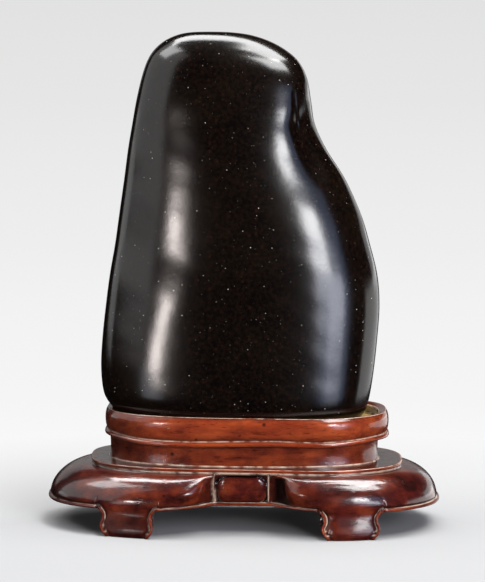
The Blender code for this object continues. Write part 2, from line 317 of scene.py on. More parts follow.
def crease_press(x, y, z, line, depth, width):
    """How far a crease along a line presses the front of the stone in."""
    nearest = np.full(x.shape, np.inf)
    along = np.zeros(x.shape)
    runs = len(line) - 1
    for index, (start, end) in enumerate(zip(line, line[1:])):
        run_x = end[0] - start[0]
        run_z = end[1] - start[1]
        part = (x - start[0]) * run_x + (z - start[1]) * run_z
        part = np.clip(part / (run_x * run_x + run_z * run_z), 0.0, 1.0)
        away = np.hypot(x - start[0] - part * run_x, z - start[1] - part * run_z)
        closer = away < nearest
        nearest = np.where(closer, away, nearest)
        along = np.where(closer, (index + part) / runs, along)
    ends = np.sin(math.pi * (0.1 + 0.8 * along))
    back = np.clip((CREASE_BACK_Y - y) / CREASE_FADE, 0.0, 1.0)
    return depth * ends * back * np.exp(-((nearest / width) ** 2))


def make_stone():
    """Rings from the flat base, closed to its middle, up to the crest."""
    last = len(STONE_LEVELS) - 1
    places = np.linspace(0.0, 1.0, STONE_ROWS) * last
    places = np.unique(np.concatenate((places, last - np.geomspace(0.002, 0.06, 4))))
    turns = TAU * np.arange(STONE_COLUMNS) / STONE_COLUMNS
    z, left, right, front, back, square_left, square_right = stone_levels(places).T[..., None]
    squareness = np.where(np.sin(turns) > 0.0, BACK_SQUARENESS,
                          np.where(np.cos(turns) < 0.0, square_left, square_right))
    x, y = rounded(turns, 0.5 * (right - left), 0.5 * (back - front), squareness)
    x = x + 0.5 * (left + right)
    y = y + 0.5 * (front + back) - STONE_SKEW * x
    z = z + 0.0 * x
    press = crease_press(x, y, z, CREASE_LINE, CREASE_DEPTH, CREASE_WIDTH)
    cut = crease_press(x, y, z, CUT_LINE, CUT_DEPTH, CUT_WIDTH)
    hollow = 0.0
    for middle_x, middle_z, half_x, half_z, depth, side in STONE_HOLLOWS:
        reach = ((x - middle_x) / half_x) ** 2 + ((z - middle_z) / half_z) ** 2
        facing = ease(side * np.sin(turns), 0.0, 0.6)
        hollow = hollow - side * depth * facing * np.exp(-reach)
    y = y + press + cut + hollow + STONE_WAVER * waver(x, y, z, 6.0) * np.sin(turns)
    spots = np.stack((x, y, z), axis=-1)
    foot = [spots[0] * (share, share, 1.0) for share in (0.0, 0.35, 0.7)]
    return shaped_grid("stone_skin", np.concatenate((foot, spots)), {})


# ---------------------------------------------------------------------------
# Stand
# ---------------------------------------------------------------------------

def front_swell(x, y, size, middle, reach):
    """Forward swell of an outline on its front side only."""
    return np.where(y < 0.0, -size * np.exp(-(((x - middle) / reach) ** 2)), 0.0)


def upper_outline(t, outline, swell=SWELL):
    """Plan of the step, waist, bead, collar or socket."""
    half_x, half_y, squareness, shift = outline
    x, y = rounded(t, half_x, half_y, squareness)
    front = np.maximum(0.0, -y / half_y)
    y = y + front_swell(x, y, swell * front, SWELL_X, SWELL_REACH)
    return x + shift, y - UPPER_SKEW * x


def apron_outline(t, power):
    """Plan of the lobed apron, whose front and back panels are recessed."""
    half_x, half_y, squareness, shift = APRON
    x, y = rounded(t, half_x, half_y, squareness)
    side = np.abs(y / half_y)
    y = y + front_swell(x, y, APRON_SWELL * side, APRON_SWELL_X, APRON_SWELL_REACH)
    along = np.clip((np.abs(x) - PANEL_HALF) / PANEL_BLEND, 0.0, 1.0)
    y = y - np.copysign(PANEL_RECESS * (1.0 - along) ** power, y)
    return x + shift, y - APRON_SKEW * x


def edge_height(x):
    """Height of the lower edge of the apron, which sags toward the ends."""
    return APRON_EDGE_Z - APRON_END_SAG * (x / APRON[0]) ** 2


RULER_TURNS = np.arange(OUTLINE_STEPS + 1) / OUTLINE_STEPS
RULER_X, RULER_Y = apron_outline(TAU * RULER_TURNS, BLEND_POWER_LOW)
RULER = np.concatenate(((0.0,), np.cumsum(np.hypot(np.diff(RULER_X), np.diff(RULER_Y)))))


def parameter_at(distance):
    """Parameter of the apron outline at distances along it."""
    turns, rest = np.divmod(distance, RULER[-1])
    return TAU * (turns + np.interp(rest, RULER, RULER_TURNS))


def distance_of(foot_x, side):
    """Distance along the apron outline at which it passes a foot's middle."""
    gap = np.where(RULER_Y * side > 0.0, np.abs(RULER_X - foot_x), np.inf)
    return RULER[int(np.argmin(gap))]


def stand_columns():
    """Columns round the stand: middle, toe, width, start height, place, kept, foot or not."""
    reach = FOOT_HALF_WIDTHS[-1][1]
    feet = sorted((distance_of(x, side), toe, width) for x, side, toe, width in FEET)
    shares = (np.arange(COLUMNS_SIDE) + 0.5) / COLUMNS_SIDE
    starts = FOOT_SIDE_TOP * (1.0 - shares)
    kept = 1.0 - (1.0 - FOOT_KEEP) * shares
    sole = np.linspace(-1.0, 1.0, COLUMNS_SOLE)
    columns = []
    for index, (middle, toe, width) in enumerate(feet):
        foot = (middle, toe, width)
        columns += [(*foot, s, -1.0, -k, 1.0) for s, k in zip(starts, kept)]
        columns += [(*foot, 0.0, p, p * FOOT_KEEP, 1.0) for p in sole]
        columns += [(*foot, s, 1.0, k, 1.0) for s, k in zip(starts[::-1], kept[::-1])]
        following, _, next_width = feet[(index + 1) % len(feet)]
        if index == len(feet) - 1:
            following += RULER[-1]
        begin = middle + reach * width
        length = following - reach * next_width - begin
        count = COLUMNS_FRONT if index in (0, 2) else COLUMNS_END
        columns += [(begin + length * i / (count - 1), 0.0, 1.0, 0.0, 0.0, 0.0, 0.0)
                    for i in range(count)]
    return np.array(columns).T


def outer_row(columns, share):
    """One ring of the outer side of the apron and feet at a share of its rise,
    with the directions in which the carving stands proud and the parameters."""
    middle, toe, width, start, place, kept, foot = columns
    low = edge_height(apron_outline(parameter_at(middle), BLEND_POWER_LOW)[0])
    bottom = np.where(foot > 0.5, start, low)
    z = bottom + (STEP_BOTTOM_Z - bottom) * share
    settle = 1.0 - np.exp(-np.maximum(0.0, z - start) / SIDE_SETTLE)
    across = place + (kept - place) * settle
    t = parameter_at(middle + foot * across * width * read_smooth(FOOT_HALF_WIDTHS, z))
    ankle = ANKLE_TUCK * np.exp(-(((z - ANKLE_Z) / ANKLE_HEIGHT) ** 2))
    swell = foot * (toe * np.exp(-(((z - TOE_Z) / TOE_HEIGHT) ** 2)) - ankle)
    rise = np.clip((z - APRON_EDGE_Z) / (STEP_BOTTOM_Z - APRON_EDGE_Z), 0.0, 1.0)
    spread = np.sqrt(1.0 - rise * rise)
    power = BLEND_POWER_LOW + (BLEND_POWER_HIGH - BLEND_POWER_LOW) * np.minimum(1.0, 2.0 * rise)
    out_x, out_y = apron_outline(t, power)
    near_x, near_y = apron_outline(t + 0.002, power)
    side_x = near_y - out_y
    side_y = out_x - near_x
    side_length = np.hypot(side_x, side_y)
    out_y = out_y + swell * np.sign(out_y)
    in_x, in_y = upper_outline(t, STEP)
    tuck = 1.0 - 0.012 * (1.0 - spread)
    x = (in_x + (out_x - in_x) * spread) * tuck
    y = (in_y + (out_y - in_y) * spread) * tuck
    width_out = np.maximum(4.0, np.hypot(out_x - in_x, out_y - in_y))
    flat = spread / width_out
    up = rise / (STEP_BOTTOM_Z - APRON_EDGE_Z)
    length = np.hypot(flat, up)
    proud = np.stack((side_x / side_length * flat / length,
                      side_y / side_length * flat / length, up / length), axis=-1)
    return np.stack((x, y, z), axis=-1), proud, t


def behind(x, y):
    """Points one wall thickness in from the apron's face."""
    turn = ease(np.abs(x), WALL_TURN_X, APRON[0])
    reach = APRON_WALL / np.hypot(turn, 1.0 - turn)
    return x - np.copysign(turn * reach, x), y - np.copysign((1.0 - turn) * reach, y)


def edge_distance(spots, path):
    """Distance of each spot from the lower edge, which leaves out the soles."""
    runs = np.roll(path, -1, axis=0) - path
    raised = np.maximum(path[:, 2], np.roll(path[:, 2], -1)) > 0.5
    path = path[raised]
    runs = runs[raised]
    lengths = np.sum(runs * runs, axis=-1) + 1e-9
    result = np.empty(spots.shape[:2])
    for row, ring in enumerate(spots):
        toward = ring[:, None] - path[None]
        part = np.clip(np.sum(toward * runs, axis=-1) / lengths, 0.0, 1.0)
        away = toward - part[..., None] * runs
        result[row] = np.sqrt(np.min(np.sum(away * away, axis=-1), axis=1))
    return result


def half_round(distance, radius):
    """Height of a thread of half-round section at a distance from its middle."""
    return np.sqrt(np.clip(1.0 - (distance / radius) ** 2, 0.0, 1.0))


def box_distance(x, z):
    """Signed distance from the rounded outline of the cushion on a panel."""
    over_x = np.abs(x - CUSHION_MIDDLE[0]) - CUSHION_HALF[0] + CUSHION_CORNER
    over_z = np.abs(z - CUSHION_MIDDLE[1]) - CUSHION_HALF[1] + CUSHION_CORNER
    outside = np.hypot(np.maximum(over_x, 0.0), np.maximum(over_z, 0.0))
    return outside + np.minimum(np.maximum(over_x, over_z), 0.0) - CUSHION_CORNER


def beside_panel(x, z):
    """Where the hollow beside the nose of each lobe is, from 0 to 1."""
    reach = NOSE_ROUND + NOSE_SPREAD * ease(-z, -19.0, -13.0)
    near = np.exp(-((np.maximum(np.abs(x) - NOSE_X, 0.0) / reach) ** 2))
    return near * np.where(x > 0.0, 1.0, 0.4) * ease(np.abs(x), THREADS_X[1], NOSE_X - 0.8)


def carve(spots, proud):
    """Lip, groove, threads, cushions and hand waver on the apron and feet."""
    x, y, z = np.moveaxis(spots, -1, 0)
    away = edge_distance(spots, spots[0])
    rim = half_round(away - LIP_RADIUS, LIP_RADIUS)
    groove = np.exp(-(((away - 2.35 * LIP_RADIUS) / 0.5) ** 2))
    depth = -FINISH_INSET - BODY_INSET * (1.0 - rim) - LIP_GROOVE * groove
    depth = depth - SOLE_EASE * ease(-z, -1.5, 0.0)

    off_lip = ease(away, 1.0, 1.9)
    panel = np.abs(x) < PANEL_HALF + 6.0
    nearest = np.min([np.abs(x - middle) for middle in THREADS_X], axis=0)
    thread = half_round(nearest, THREAD_RADIUS)
    depth = depth + np.where(panel, BODY_INSET * thread * off_lip, 0.0)

    inside = -box_distance(x, z)
    dome = np.clip(inside / CUSHION_ROUND, 0.0, 1.0)
    cushion = np.sqrt(np.clip(1.0 - (1.0 - dome) ** 2, 0.0, 1.0))
    between = (x > THREADS_X[0] + THREAD_RADIUS) & (x < THREADS_X[1] - THREAD_RADIUS)
    depth = depth + np.where(between, CUSHION_RISE * cushion * off_lip, 0.0)
    moat = np.exp(-(((inside + 0.3) / 0.4) ** 2))
    depth = depth - np.where(between, MOAT_DEPTH * moat * off_lip, 0.0)

    beside = beside_panel(x, z) * off_lip * ease(STEP_BOTTOM_Z - z, 0.2, 1.6)
    depth = depth - NOSE_DEPTH * beside

    depth = depth + HAND_WAVER * waver(x, y, z, 5.5) * off_lip
    carved = spots + proud * depth[..., None]
    carved[..., 2] = np.maximum(carved[..., 2], 0.0)

    # Painted shade darkens the deep carving, the moat round the cushion and the gaps by the threads, and
    # dried wax lies in the creases.
    hollow = np.minimum(1.0, 1.6 * beside)
    threads = np.exp(-((nearest / 0.24) ** 2))
    gap = np.exp(-(((nearest - 1.1 * THREAD_RADIUS) / 0.35) ** 2))
    wax = np.where(panel, 0.75 * threads * off_lip, 0.0)
    recess_shade = np.where(between, 0.95 * moat + 0.55 * (1.0 - cushion), 0.0) * off_lip
    recess_shade = np.max((recess_shade, hollow, np.where(panel, 0.8 * gap * off_lip, 0.0)), axis=0)
    return carved, apron_shades(x, z, away, wax, recess_shade, hollow)


def apron_shades(x, z, away, wax, recess_shade, hollow):
    """How the finish of the apron and feet varies, painted shade and highlight included."""
    crease = np.exp(-(((away - 2.15 * LIP_RADIUS) / 0.12) ** 2))
    crease = crease * (0.9 - 0.55 * ease(-x, 44.0, 64.0))
    # Painted shade in the groove over the lip.
    over_lip = 0.9 * np.exp(-(((away - 3.0 * LIP_RADIUS) / 0.6) ** 2))
    # Painted shade over darker stain toward both ends, heavier on the left.
    outward = np.where(x < 0.0, 0.6, 0.4) * ease(np.abs(x), 52.0, 74.0)
    # Painted shade low on the feet, heavier on the left foot.
    low = np.where(x < 0.0, 0.62, 0.28) * ease(-z, -12.0, -8.0) * ease(away, 0.3, 1.4)
    # Painted shade over the upper part of the lobes.
    upper = 0.3 * ease(z, 12.5, 16.0) * ease(np.abs(x), 15.0, 24.0)
    painted_shade_and_patina = np.max((recess_shade, over_lip, outward, low, upper), axis=0)
    # Stain deepens toward the ends and low on the feet with their painted shade; the lip is lighter, a
    # painted highlight that fades toward the left end.
    stain_and_painted_light = 0.8 + 0.25 * ease(np.abs(x), 48.0, 74.0) + 0.15 * ease(-z, -9.0, -5.0)
    on_lip = np.exp(-(((away - LIP_RADIUS) / 0.6) ** 2))
    stain_and_painted_light = stain_and_painted_light - on_lip * (0.5 - 0.5 * ease(-x, 36.0, 60.0))
    dull = np.where(x < 0.0, 0.95, 0.6) * ease(-z, -13.5, -10.0) * ease(-z, -60.0, -14.0)
    return {"wax_and_painted_highlight": np.maximum(crease, wax), "painted_shade_and_patina": np.clip(painted_shade_and_patina, 0.0, 1.0),
            "stain_and_painted_light": stain_and_painted_light, "dull": np.maximum(dull, hollow), "raw": 0.0 * x}


def part_way(first, second, part):
    """Outline part of the way from one outline to another."""
    return tuple(a + (b - a) * part for a, b in zip(first, second))


def stand_mouldings(t):
    """Rings of the step, waist, bead, collar, rim and socket, with their shades."""
    rings = []
    shades = {label: [] for label in SHADES}

    def ring(outline, z, swell=SWELL, pale=0.0, dark=0.0, stain_and_painted_light=0.0, raw=0.0):
        x, y = upper_outline(t, outline, swell)
        near_bead = 0.0 if raw else math.exp(-(((z - BEAD_Z) / BEAD_SAG_REACH) ** 2))
        sag = near_bead * read_smooth(BEAD_SAG, x) * ease(-y, 2.0, 14.0)
        rings.append(np.stack((x, y, z - sag), axis=-1))
        # Painted shade over darker stain toward both ends, heavier on the left; the pale lines fade at the
        # left end.
        left_end = ease(-x, *LEFT_END_DARKENING_X)
        dark = np.maximum(dark, LEFT_END_DARKENING * left_end + RIGHT_END_DARKENING * ease(x, *RIGHT_END_DARKENING_X))
        pale = pale * (1.0 - 0.6 * left_end)
        for label, value in zip(SHADES, (pale, dark, stain_and_painted_light, 0.0, raw)):
            shades[label].append(value + 0.0 * x)

    # Crease over the apron, then the step's rounded edge and flat top.
    # The crease under the step holds dried wax and painted shade.
    ring(part_way(STEP, WAIST, 0.05), STEP_BOTTOM_Z + 0.02, pale=0.9, dark=0.9, stain_and_painted_light=0.6)
    ring(part_way(STEP, WAIST, 0.045), STEP_BOTTOM_Z + 0.16, pale=0.75, dark=0.5, stain_and_painted_light=0.6)
    # Pale on the upper turns of the step's edge is a painted highlight.
    for degrees in STEP_EDGE_TURNS:
        turn = math.radians(degrees)
        middle = STEP_BOTTOM_Z + STEP_EDGE_RADIUS if turn < 0.0 else STEP_TOP_Z - STEP_EDGE_RADIUS
        part = (1.0 - math.cos(turn)) * STEP_EDGE_RADIUS / (STEP[0] - WAIST[0])
        ring(part_way(STEP, WAIST, part), middle + STEP_EDGE_RADIUS * math.sin(turn),
             pale=0.5 if degrees > 45.0 else 0.0, stain_and_painted_light=0.25)
    for part, dark in STEP_TOP:
        ring(part_way(STEP, WAIST, part), STEP_TOP_Z, SWELL * (1.0 - part), dark=dark, stain_and_painted_light=0.6)
    ring(part_way(STEP, WAIST, 0.965), STEP_TOP_Z + 0.02, 0.0, pale=0.9, dark=0.5, stain_and_painted_light=0.6)

    # Waist, which has no swell at the front, and the bead over it.
    for rise, pale, dark in WAIST_FOOT:
        ring(WAIST, STEP_TOP_Z + rise, 0.0, pale, dark, 0.3)
    for part, dark in WAIST_FACE:
        z = STEP_TOP_Z + (WAIST_TOP_Z - STEP_TOP_Z) * part
        hollow = WAIST_HOLLOW * math.sin(math.pi * part)
        ring(part_way(WAIST, STEP, -hollow), z, 0.0, dark=dark, stain_and_painted_light=0.42)
    # Painted shade under the bead.
    ring(WAIST, WAIST_TOP_Z, 0.0, pale=0.1, dark=0.9, stain_and_painted_light=0.3)
    # The bead's lighter stain is rubbed wear with a painted highlight along its ridge.
    for degrees in BEAD_TURNS:
        turn = math.radians(degrees)
        part = math.cos(turn)
        inner = WAIST if turn < 0.0 else GROOVE
        swell = SWELL * (part if turn < 0.0 else 1.0)
        z = BEAD_Z + (BEAD_Z - WAIST_TOP_Z) * math.sin(turn)
        ring(part_way(inner, BEAD, part), z, swell, stain_and_painted_light=-0.9)

    # Collar, rim and the bare wood of the socket.
    # The groove over the bead holds dried wax and painted shade.
    ring(part_way(GROOVE, WAIST, 0.12), GROOVE_Z - 0.02, pale=0.9, dark=0.4)
    ring(part_way(GROOVE, WAIST, 0.08), GROOVE_Z + 0.12, pale=0.85, dark=0.2)
    for rise, part, pale, dark in COLLAR_FACE:
        ring(part_way(GROOVE, COLLAR, part), GROOVE_Z + rise, pale=pale, dark=dark)
    for rise, part, dark in COLLAR_TOP:
        ring(part_way(COLLAR, RIM, part), GROOVE_Z + rise, dark=dark, stain_and_painted_light=0.3)
    # Pale on the rim's edges is a painted highlight.
    ring(part_way(COLLAR, RIM, 0.95), GROOVE_Z + 8.52, pale=0.6, dark=0.2, stain_and_painted_light=0.4)
    ring(RIM, RIM_Z, pale=0.55, stain_and_painted_light=0.5)
    for part, drop, pale in RIM_TOP:
        ring(part_way(RIM, SOCKET, part), RIM_Z - drop, SWELL * (1.0 - 0.5 * part), pale, 0.35, 0.6)
    for part in (0.1, 0.4, 0.7, 1.0):
        z = SOCKET_LIP_Z + (SOCKET_FLOOR_Z - SOCKET_LIP_Z) * part
        ring(SOCKET, z, 0.5 * SWELL, raw=1.0)
    floor = rings[-1]
    for share in (0.9, 0.5, 0.0):
        rings.append(floor * (share, share, 1.0))
        for label, value in zip(SHADES, (0.0, 0.3, 0.3, 0.0, 1.0)):
            shades[label].append(value + 0.0 * t)
    return np.array(rings), {label: np.array(rows) for label, rows in shades.items()}


def make_stand():
    """Rings from the underside, round the feet and apron, up to the socket floor."""
    columns = stand_columns()
    turns = np.linspace(math.asin(SWELL_START / FACE_HEIGHT), 0.5 * math.pi, SWELL_RINGS)
    shares = np.concatenate((np.array(LIP_RINGS) / FACE_HEIGHT, np.sin(turns)))
    outer = []
    proud = []
    for share in shares:
        spots, ways, t = outer_row(columns, share)
        outer.append(spots)
        proud.append(ways)
    carved, shades = carve(np.array(outer), np.array(proud))

    edge = carved[0]
    inner_x, inner_y = behind(outer[0][:, 0], outer[0][:, 1])
    lip = np.stack((inner_x, inner_y, edge[:, 2]), axis=-1)
    roof = np.stack((inner_x, inner_y, CEILING_Z + 0.0 * inner_x), axis=-1)
    under = [roof * (0.0, 0.0, 1.0), roof * (0.3, 0.3, 1.0), roof * (0.55, 0.55, 1.0),
             roof * (0.8, 0.8, 1.0), roof, 0.5 * (lip + roof), lip,
             lip + (edge - lip) * 0.5, lip + (edge - lip) * 0.93]
    level = np.zeros((len(under), len(edge)))
    under_shades = dict(zip(SHADES, (level, level + 0.6, level + 0.7, level, level)))
    upper, upper_shades = stand_mouldings(t)
    return shaped_grid(
        "stand_carved",
        np.concatenate((np.array(under), carved, upper)),
        {label: np.concatenate((under_shades[label], shades[label], upper_shades[label]))
         for label in shades},
    )


# ---------------------------------------------------------------------------
# Materials
# ---------------------------------------------------------------------------

def linear(code):
    """Linear colour of an sRGB hex code."""
    values = [int(code[i:i + 2], 16) / 255.0 for i in (1, 3, 5)]
    return tuple(v / 12.92 if v <= 0.04045 else ((v + 0.055) / 1.055) ** 2.4 for v in values)


def per_metre(millimetres):
    """Scale of a pattern whose spacing is given in millimetres."""
    return 1000.0 / millimetres


def grey(value):
    """Opaque grey for a mask."""
    return (value, value, value, 1.0)


def tint(code):
    """Opaque linear colour of an sRGB hex code."""
    return (*linear(code), 1.0)


def add_node(tree, kind, inputs=(), stops=(), **settings):
    """Add a node with its settings, values, links and colour stops."""
    node = tree.nodes.new(kind)
    for name, value in settings.items():
        setattr(node, name, value)
    for name, value in dict(inputs).items():
        if isinstance(value, bpy.types.NodeSocket):
            tree.links.new(value, node.inputs[name])
        else:
            node.inputs[name].default_value = value
    if stops:
        elements = node.color_ramp.elements
        while len(elements) < len(stops):
            elements.new(0.5)
        for element, (place, colour) in zip(elements, stops):
            element.position = place
            element.color = colour
    return node


def new_material(name):
    """Empty node material with its shader."""
    material = bpy.data.materials.new(name)
    material.use_nodes = True
    tree = material.node_tree
    return material, tree, tree.nodes["Principled BSDF"]


def polished_black_limestone():
    """Dense black limestone rubbed to a deep satin gloss by hand.

    The eye sees near-black with a warm brown cast, soft-edged reflections and
    scattered pale specks of calcite under half a millimetre across.
    """
    material, tree, shader = new_material("polished_black_limestone")
    place = add_node(tree, "ShaderNodeTexCoord").outputs["Object"]
    cloud = add_node(tree, "ShaderNodeTexNoise",
                     {"Vector": place, "Scale": per_metre(22.0), "Detail": 6.0}).outputs["Fac"]
    body = add_node(tree, "ShaderNodeValToRGB", {"Fac": cloud}, (
        (0.36, tint("#030101")), (0.5, tint("#060302")), (0.64, tint("#0c0703")))).outputs["Color"]
    grain = add_node(tree, "ShaderNodeTexNoise",
                     {"Vector": place, "Scale": per_metre(1.4), "Detail": 4.0}).outputs["Fac"]
    grain = add_node(tree, "ShaderNodeValToRGB", {"Fac": grain}, (
        (0.38, tint("#020101")), (0.68, tint("#180d07")))).outputs["Color"]
    colour = add_node(tree, "ShaderNodeMix", {0: 0.5, 6: body, 7: grain}, data_type="RGBA").outputs[2]
    # Bright calcite specks, fine pale dust and faint brown spots: spacing in
    # millimetres, inner and outer radius as shares of it, strength, how
    # unequal the spots are, and colour.
    for spacing, near, far, strength, unequal, shade in (
        (3.0, 0.04, 0.08, 0.95, 1.8, "#c8c6c0"),
        (1.7, 0.05, 0.10, 0.45, 2.0, "#9a958c"),
        (2.6, 0.16, 0.34, 0.35, 2.0, "#2c1609"),
    ):
        cells = add_node(tree, "ShaderNodeTexVoronoi", {"Vector": place, "Scale": per_metre(spacing)})
        spot = add_node(tree, "ShaderNodeValToRGB", {"Fac": cells.outputs["Distance"]},
                        ((near, grey(1.0)), (far, grey(0.0)))).outputs["Color"]
        number = add_node(tree, "ShaderNodeSeparateColor",
                          {"Color": cells.outputs["Color"]}).outputs["Red"]
        bright = add_node(tree, "ShaderNodeMath", {0: number, 1: unequal},
                          operation="POWER").outputs[0]
        bright = add_node(tree, "ShaderNodeMath", {0: bright, 1: strength},
                          operation="MULTIPLY").outputs[0]
        share = add_node(tree, "ShaderNodeMath", {0: spot, 1: bright},
                         operation="MULTIPLY").outputs[0]
        colour = add_node(tree, "ShaderNodeMix", {0: share, 6: colour, 7: tint(shade)},
                          data_type="RGBA").outputs[2]
    tree.links.new(colour, shader.inputs["Base Color"])
    rough = add_node(tree, "ShaderNodeMath", {0: cloud, 1: 0.06, 2: 0.135},
                     operation="MULTIPLY_ADD").outputs[0]
    tree.links.new(rough, shader.inputs["Roughness"])
    shader.inputs["IOR"].default_value = 1.6
    # Hand rubbing leaves a faint unevenness a couple of millimetres wide.
    fine = add_node(tree, "ShaderNodeTexNoise",
                    {"Vector": place, "Scale": per_metre(2.4), "Detail": 3.0}).outputs["Fac"]
    bump = add_node(tree, "ShaderNodeBump", {"Height": fine, "Strength": 0.08, "Distance": 0.0002})
    tree.links.new(bump.outputs["Normal"], shader.inputs["Normal"])
    return material


def waxed_hongmu():
    """Dark red rosewood carved from one block, stained and waxed.

    The eye sees glossy red-brown wood with darker streaks along its length,
    short dark pores, recesses darkened with painted shade, thin lines of pale
    dried wax in the creases, painted highlights on the step and rim edges and
    bare tan wood inside the socket.
    """
    material, tree, shader = new_material("waxed_hongmu")
    place = add_node(tree, "ShaderNodeTexCoord").outputs["Object"]
    shares = {label: add_node(tree, "ShaderNodeAttribute", attribute_name=label).outputs["Fac"]
              for label in SHADES}

    # Growth streaks run along X, five times as long as they are wide.
    along = add_node(tree, "ShaderNodeMapping", {"Vector": place, "Scale": (0.2, 1.0, 1.0)})
    streaks = add_node(tree, "ShaderNodeTexNoise", {
        "Vector": along.outputs["Vector"], "Scale": per_metre(4.8), "Detail": 6.0,
        "Roughness": 0.62, "Distortion": 0.3}).outputs["Fac"]
    bright = add_node(tree, "ShaderNodeValToRGB", {"Fac": streaks}, (
        (0.30, tint("#561c0c")), (0.45, tint("#7c2e15")),
        (0.60, tint("#933e1a")), (0.78, tint("#692411")))).outputs["Color"]
    deep = add_node(tree, "ShaderNodeValToRGB", {"Fac": streaks}, (
        (0.30, tint("#1c0605")), (0.46, tint("#380d0a")),
        (0.60, tint("#4d150e")), (0.78, tint("#2b0a08")))).outputs["Color"]
    # The stain took unevenly, in patches about 9 mm across.
    patches = add_node(tree, "ShaderNodeTexNoise", {
        "Vector": place, "Scale": per_metre(9.0), "Detail": 6.0, "Roughness": 0.66}).outputs["Fac"]
    uneven = add_node(tree, "ShaderNodeMath", {0: patches, 1: 2.2, 2: -1.1},
                      operation="MULTIPLY_ADD").outputs[0]
    share = add_node(tree, "ShaderNodeMath", {0: shares["stain_and_painted_light"], 1: uneven},
                     operation="ADD", use_clamp=True).outputs[0]
    colour = add_node(tree, "ShaderNodeMix", {0: share, 6: bright, 7: deep},
                      data_type="RGBA").outputs[2]

    # Short open pores. Real ones are about 0.2 mm wide and wouldn't show, so
    # they are drawn at half a millimetre.
    pore_place = add_node(tree, "ShaderNodeMapping", {"Vector": place, "Scale": (0.16, 1.0, 1.0)})
    pores = add_node(tree, "ShaderNodeTexNoise", {
        "Vector": pore_place.outputs["Vector"], "Scale": per_metre(0.53),
        "Detail": 1.0}).outputs["Fac"]
    pore = add_node(tree, "ShaderNodeValToRGB", {"Fac": pores},
                    ((0.28, grey(0.3)), (0.38, grey(1.0)))).outputs["Color"]
    colour = add_node(tree, "ShaderNodeMix", {0: 0.75, 6: colour, 7: pore},
                      data_type="RGBA", blend_type="MULTIPLY").outputs[2]

    # Dark dots and the ragged knot in the right lobe.
    dots = add_node(tree, "ShaderNodeTexVoronoi", {"Vector": place, "Scale": per_metre(11.8)})
    dots = add_node(tree, "ShaderNodeValToRGB", {"Fac": dots.outputs["Distance"]},
                    ((0.04, grey(1.0)), (0.09, grey(0.0)))).outputs["Color"]
    shift = tuple(-a * b for a, b in zip(KNOT_PLACE, KNOT_STRETCH))
    warped = add_node(tree, "ShaderNodeMapping",
                      {"Vector": place, "Scale": KNOT_STRETCH, "Location": shift})
    away = add_node(tree, "ShaderNodeVectorMath", {"Vector": warped.outputs["Vector"]},
                    operation="LENGTH").outputs["Value"]
    away = add_node(tree, "ShaderNodeMath", {0: patches, 1: KNOT_RAGGED, 2: away},
                    operation="MULTIPLY_ADD").outputs[0]
    knot = add_node(tree, "ShaderNodeMath", {0: away, 1: -0.5 * KNOT_RAGGED},
                    operation="ADD").outputs[0]
    knot = add_node(tree, "ShaderNodeMath", {0: knot, 1: KNOT_SIZE}, operation="DIVIDE").outputs[0]
    knot = add_node(tree, "ShaderNodeValToRGB", {"Fac": knot},
                    ((0.45, grey(1.0)), (1.0, grey(0.0)))).outputs["Color"]
    marks = add_node(tree, "ShaderNodeMath", {0: dots, 1: knot}, operation="MAXIMUM").outputs[0]
    marks = add_node(tree, "ShaderNodeMath", {0: marks, 1: 0.85}, operation="MULTIPLY").outputs[0]
    # The dots and knot join the painted shade of recesses, creases, ends and feet, all mixed toward
    # near-black.
    dark = add_node(tree, "ShaderNodeMath", {0: marks, 1: shares["painted_shade_and_patina"]},
                    operation="MAXIMUM").outputs[0]
    colour = add_node(tree, "ShaderNodeMix", {0: dark, 6: colour, 7: tint("#120505")},
                      data_type="RGBA").outputs[2]

    # Bare wood in the socket, and broken lines of dried wax in the creases, the same lines giving the
    # painted highlights on the step and rim edges.
    bare = add_node(tree, "ShaderNodeMix", {0: streaks, 6: tint("#5e4424"), 7: tint("#c2a468")},
                    data_type="RGBA").outputs[2]
    colour = add_node(tree, "ShaderNodeMix", {0: shares["raw"], 6: colour, 7: bare},
                      data_type="RGBA").outputs[2]
    broken = add_node(tree, "ShaderNodeTexNoise", {
        "Vector": place, "Scale": per_metre(4.3), "Detail": 4.0}).outputs["Fac"]
    gaps = add_node(tree, "ShaderNodeValToRGB", {"Fac": broken},
                    ((0.38, grey(0.12)), (0.56, grey(1.0)))).outputs["Color"]
    pale = add_node(tree, "ShaderNodeMath", {0: shares["wax_and_painted_highlight"], 1: gaps},
                    operation="MULTIPLY", use_clamp=True).outputs[0]
    colour = add_node(tree, "ShaderNodeMix", {0: pale, 6: colour, 7: tint("#dcc0a8")},
                      data_type="RGBA").outputs[2]
    tree.links.new(colour, shader.inputs["Base Color"])

